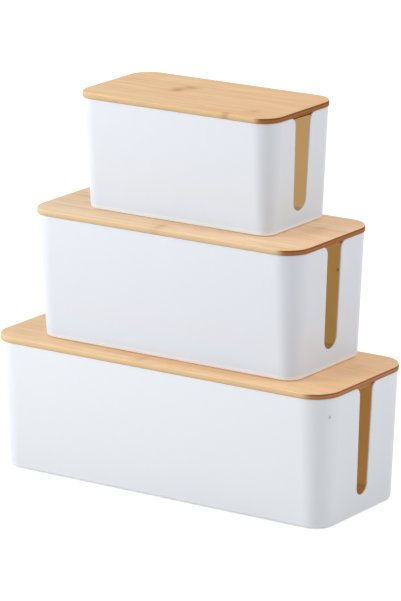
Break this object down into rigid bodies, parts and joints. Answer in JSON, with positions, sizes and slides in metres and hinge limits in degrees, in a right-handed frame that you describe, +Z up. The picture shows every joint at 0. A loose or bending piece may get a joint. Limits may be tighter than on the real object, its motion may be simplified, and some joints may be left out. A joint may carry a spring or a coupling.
{
  "type": "cable management box set",
  "caption": "Stack of tapered plastic cable boxes with rounded corners, slotted ends and lift-off bamboo lids that hide power strips and cords.",
  "frame": {"origin": "on the table, under the middle of the large box", "axes": "+X along the boxes to the right-hand slotted end, +Y towards the back, +Z up"},
  "size_m": [0.4018, 0.1518, 0.391],
  "materials": {
    "white_plastic": "fine satin white moulding",
    "bamboo": "sealed natural bamboo, satin",
    "foot_rubber": "matte grey rubber"
  },
  "bodies": {
    "large_box": {"large_body": "white_plastic", "large_foot_front_left": "foot_rubber", "large_foot_rear_left": "foot_rubber", "large_foot_front_right": "foot_rubber", "large_foot_rear_right": "foot_rubber"},
    "large_lid": {"large_lid_board": "bamboo", "large_lid_panel": "bamboo"},
    "medium_box": {"medium_body": "white_plastic", "medium_foot_front_left": "foot_rubber", "medium_foot_rear_left": "foot_rubber", "medium_foot_front_right": "foot_rubber", "medium_foot_rear_right": "foot_rubber"},
    "medium_lid": {"medium_lid_board": "bamboo", "medium_lid_panel": "bamboo"},
    "small_box": {"small_body": "white_plastic", "small_foot_front_left": "foot_rubber", "small_foot_rear_left": "foot_rubber", "small_foot_front_right": "foot_rubber", "small_foot_rear_right": "foot_rubber"},
    "small_lid": {"small_lid_board": "bamboo", "small_lid_panel": "bamboo"}
  },
  "joints": [
    {"name": "large_lid_lift", "type": "slide", "parent": "large_box", "child": "large_lid", "axis": [0, 0, 1], "range_m": [0, 0.12]},
    {"name": "medium_box_lift", "type": "slide", "parent": "large_lid", "child": "medium_box", "axis": [0, 0, 1], "range_m": [0, 0.1]},
    {"name": "medium_lid_lift", "type": "slide", "parent": "medium_box", "child": "medium_lid", "axis": [0, 0, 1], "range_m": [0, 0.12]},
    {"name": "small_box_lift", "type": "slide", "parent": "medium_lid", "child": "small_box", "axis": [0, 0, 1], "range_m": [0, 0.1]},
    {"name": "small_lid_lift", "type": "slide", "parent": "small_box", "child": "small_lid", "axis": [0, 0, 1], "range_m": [0, 0.12]}
  ]
}
